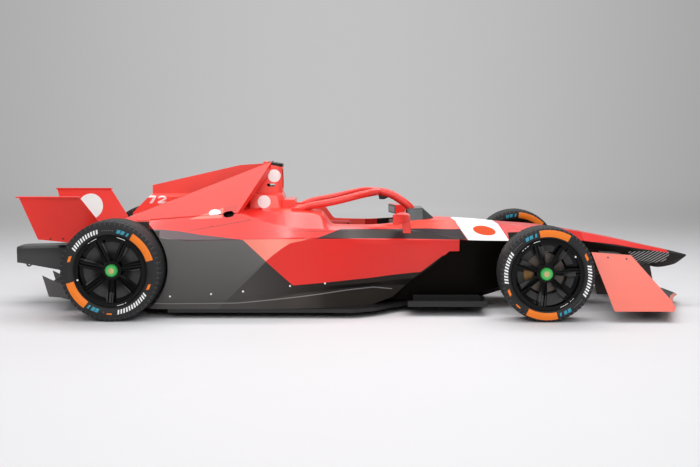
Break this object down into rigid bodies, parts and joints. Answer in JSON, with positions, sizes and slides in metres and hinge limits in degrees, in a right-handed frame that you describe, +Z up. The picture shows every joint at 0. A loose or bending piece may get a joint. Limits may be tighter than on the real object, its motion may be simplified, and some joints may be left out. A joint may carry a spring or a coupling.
{
  "type": "open wheel racing car",
  "caption": "Single seat electric open wheel racing car with a halo, spear nose, canted wing panels, a delta engine cover, steered front wheels and free turning wheels.",
  "frame": {"origin": "on the ground under the middle of the car's length, on its centre plane", "axes": "+X forward to the nose, +Y to the driver's left, +Z up"},
  "size_m": [5.016, 1.7012, 1.0659],
  "materials": {
    "paint_red": "satin lacquer over moulded carbon panels",
    "carbon": "satin woven carbon laminate",
    "tyre": "moulded treaded rubber",
    "rim_black": "gloss black forged rim",
    "nut_green": "green anodised",
    "brake_iron": "turned friction faces",
    "machined_metal": "machined, hard anodised",
    "case_metal": "cast and machined",
    "smoked_glass": "smoked polycarbonate",
    "pad_red": "red covered foam",
    "cockpit_black": "matt moulded black"
  },
  "bodies": {
    "root": {"battery": "case_metal", "beam_wing": "carbon", "buttress_left": "paint_red", "buttress_right": "paint_red", "diffuser": "carbon", "drive_unit": "case_metal", "endplate_left": "paint_red", "endplate_right": "paint_red", "engine_cover": "paint_red", "floor": "carbon", "front_suspension_left": "carbon", "front_suspension_right": "carbon", "front_wing": "carbon", "halo": "paint_red", "head_rest": "pad_red", "mirror_left": "paint_red", "mirror_right": "paint_red", "monocoque": "paint_red", "nose_cone": "paint_red", "rear_suspension_left": "carbon", "rear_suspension_right": "carbon", "rear_wing_left": "paint_red", "rear_wing_right": "paint_red", "seat": "cockpit_black", "sidepod_left": "paint_red", "sidepod_right": "paint_red", "tail_structure": "carbon", "windscreen": "smoked_glass"},
    "wheel_front_left": {"tyre_front_left": "tyre", "rim_front_left": "rim_black", "wheel_nut_front_left": "nut_green", "brake_disc_front_left": "brake_iron"},
    "wheel_rear_left": {"tyre_rear_left": "tyre", "rim_rear_left": "rim_black", "wheel_nut_rear_left": "nut_green"},
    "knuckle_left": {"knuckle_left": "machined_metal"},
    "track_rod_left": {"track_rod_left": "machined_metal"},
    "wheel_front_right": {"tyre_front_right": "tyre", "rim_front_right": "rim_black", "wheel_nut_front_right": "nut_green", "brake_disc_front_right": "brake_iron"},
    "wheel_rear_right": {"tyre_rear_right": "tyre", "rim_rear_right": "rim_black", "wheel_nut_rear_right": "nut_green"},
    "knuckle_right": {"knuckle_right": "machined_metal"},
    "track_rod_right": {"track_rod_right": "machined_metal"},
    "steering_wheel": {"steering_wheel": "cockpit_black"}
  },
  "joints": [
    {"name": "steer_left", "type": "hinge", "parent": "root", "child": "knuckle_left", "pos_m": [1.326, 0.6495, 0.3246], "axis": [0, 0, 1], "range_deg": [-18, 18]},
    {"name": "spin_front_left", "type": "hinge", "parent": "knuckle_left", "child": "wheel_front_left", "pos_m": [1.326, 0.7275, 0.3246], "axis": [0, 1, 0], "continuous": true},
    {"name": "spin_rear_left", "type": "hinge", "parent": "root", "child": "wheel_rear_left", "pos_m": [-1.6445, 0.6975, 0.3455], "axis": [0, 1, 0], "continuous": true},
    {"name": "track_rod_left_turn", "type": "hinge", "parent": "knuckle_left", "child": "track_rod_left", "pos_m": [1.438, 0.6495, 0.2862], "axis": [0, 0, 1], "range_deg": [-18, 18]},
    {"name": "steer_right", "type": "hinge", "parent": "root", "child": "knuckle_right", "pos_m": [1.326, -0.6495, 0.3246], "axis": [0, 0, 1], "range_deg": [-18, 18]},
    {"name": "spin_front_right", "type": "hinge", "parent": "knuckle_right", "child": "wheel_front_right", "pos_m": [1.326, -0.7275, 0.3246], "axis": [0, 1, 0], "continuous": true},
    {"name": "spin_rear_right", "type": "hinge", "parent": "root", "child": "wheel_rear_right", "pos_m": [-1.6445, -0.6975, 0.3455], "axis": [0, 1, 0], "continuous": true},
    {"name": "track_rod_right_turn", "type": "hinge", "parent": "knuckle_right", "child": "track_rod_right", "pos_m": [1.438, -0.6495, 0.2862], "axis": [0, 0, 1], "range_deg": [-18, 18]},
    {"name": "steering_wheel_turn", "type": "hinge", "parent": "root", "child": "steering_wheel", "pos_m": [0.25751, 0, 0.5547], "axis": [0.9613, 0, -0.2756], "range_deg": [-126, 126]}
  ],
  "couplings": [
    {"joint": "steer_right", "follows": "steer_left", "ratio": 1},
    {"joint": "track_rod_left_turn", "follows": "steer_left", "ratio": -1},
    {"joint": "track_rod_right_turn", "follows": "steer_left", "ratio": -1},
    {"joint": "steering_wheel_turn", "follows": "steer_left", "ratio": -7}
  ]
}
